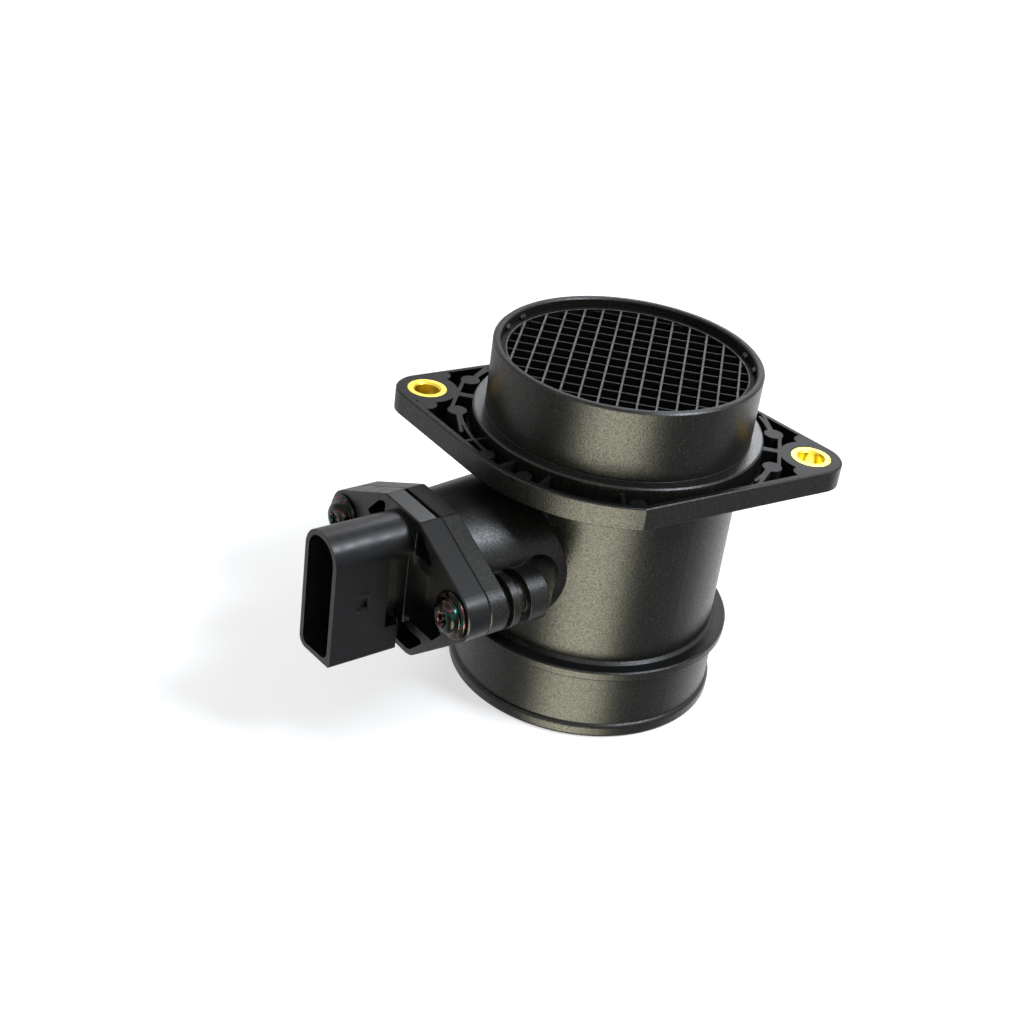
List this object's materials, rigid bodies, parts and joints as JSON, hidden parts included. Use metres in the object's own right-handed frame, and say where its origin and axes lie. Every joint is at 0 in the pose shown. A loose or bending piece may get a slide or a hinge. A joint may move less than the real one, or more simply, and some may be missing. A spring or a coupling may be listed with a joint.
{
  "type": "mass airflow sensor",
  "caption": "Mass airflow sensor: round moulded duct with a cored bolted flange, inlet grille, hose stub and a screwed plug-in sensor module with a pin connector.",
  "frame": {"origin": "on the duct axis, at the end face of the outlet stub", "axes": "+Z along the duct axis towards the inlet grille, -Y out along the sensor module and its connector, the flange ears lie on the diagonal between +X and +Y and on the one opposite"},
  "size_m": [0.086, 0.1285, 0.0934],
  "materials": {
    "housing_plastic": "satin glass-filled black plastic with fine grain",
    "grille_plastic": "satin black plastic",
    "module_plastic": "smooth black plastic",
    "cover_plastic": "smooth black plastic",
    "bush_brass": "bright turned brass",
    "screw_steel": "dark iridescent plating",
    "seal_rubber": "matt",
    "pin_metal": "plated contact metal",
    "carrier_aluminium": "plain sheet",
    "board_ceramic": "matt ceramic",
    "element_steel": "plain strip",
    "chip_silicon": "polished chip",
    "bead_coating": "glossy dip coating",
    "lead_wire": "bright wire"
  },
  "bodies": {
    "root": {"duct_tube": "housing_plastic", "inlet_flange": "housing_plastic", "sensor_boss": "housing_plastic", "flange_insert_right": "bush_brass", "flange_insert_left": "bush_brass", "inlet_grille": "grille_plastic", "module_case": "module_plastic", "seal_ring": "seal_rubber", "module_screw_right": "screw_steel", "module_screw_left": "screw_steel", "electronics_cover": "cover_plastic", "channel_cover": "cover_plastic", "carrier_plate": "carrier_aluminium", "circuit_board": "board_ceramic", "sensor_element": "element_steel", "hot_film_chip": "chip_silicon", "temperature_bead": "bead_coating", "temperature_lead_1": "lead_wire", "temperature_lead_2": "lead_wire", "terminal_1": "pin_metal", "terminal_2": "pin_metal", "terminal_3": "pin_metal", "terminal_4": "pin_metal", "terminal_5": "pin_metal"}
  },
  "joints": []
}
